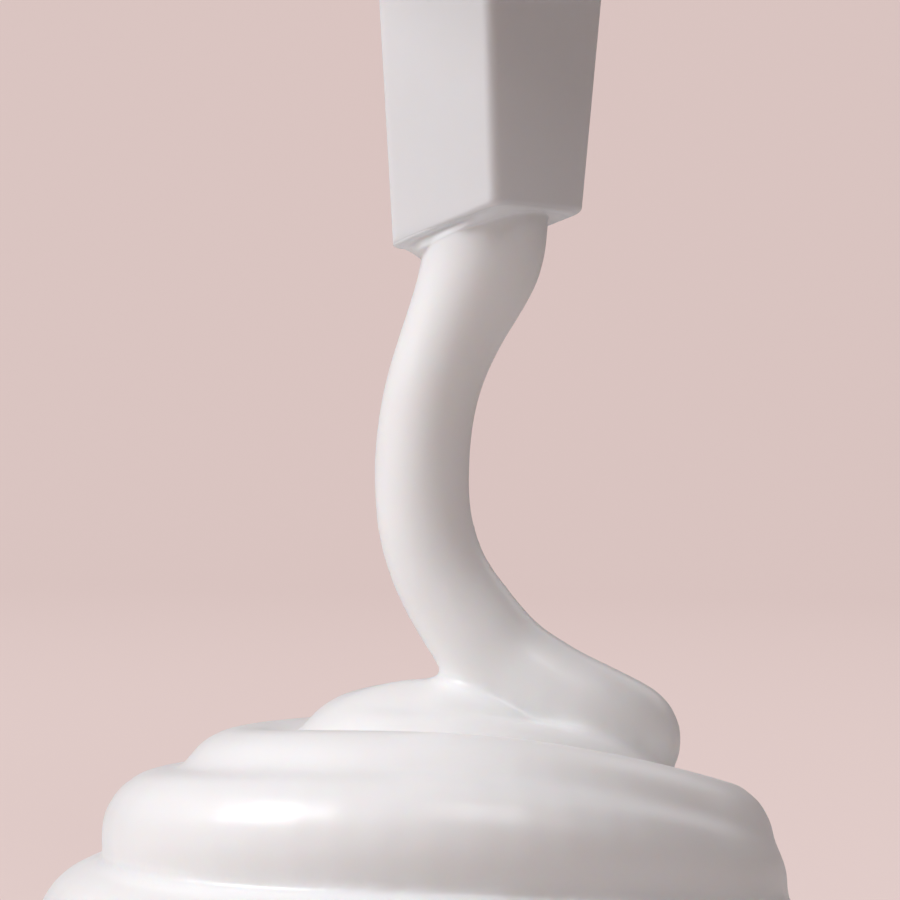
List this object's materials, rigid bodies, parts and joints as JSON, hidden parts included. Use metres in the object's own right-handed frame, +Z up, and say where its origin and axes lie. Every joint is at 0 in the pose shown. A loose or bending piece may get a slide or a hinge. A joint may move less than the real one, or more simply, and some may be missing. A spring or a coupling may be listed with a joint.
{
  "type": "body lotion bottle",
  "caption": "Squeeze bottle held neck down with a ribbed screw closure and a four-sided twist spout, pouring a coil of white lotion.",
  "frame": {"origin": "on the surface that the lotion lies on, under the spout's axis", "axes": "+Z up along the axis of spout and bottle, towards the bottle's base; -Y towards the viewer of the picture"},
  "size_m": [0.052, 0.052, 0.2059],
  "materials": {
    "bottle_hdpe": "satin blow-moulded HDPE",
    "closure_pp": "satin injection-moulded PP",
    "spout_pp": "satin injection-moulded PP",
    "liner_foam": "foamed polyethylene",
    "seal_tpe": "soft moulded elastomer",
    "lotion": "glossy white emulsion"
  },
  "bodies": {
    "closure": {"closure_cap": "closure_pp", "closure_liner": "liner_foam", "port_seal": "seal_tpe", "lotion_stream": "lotion", "lotion_swirl": "lotion"},
    "spout_body": {"spout": "spout_pp"},
    "bottle_body": {"bottle": "bottle_hdpe", "lotion_fill": "lotion"}
  },
  "joints": [
    {"name": "spout_twist", "type": "hinge", "parent": "closure", "child": "spout_body", "pos_m": [0, 0, 0.06], "axis": [0, 0, 1], "range_deg": [0, 90], "deforming": ["lotion_stream"]},
    {"name": "bottle_lift", "type": "slide", "parent": "closure", "child": "bottle_body", "axis": [0, 0, 1], "range_m": [0, 0.025]}
  ]
}
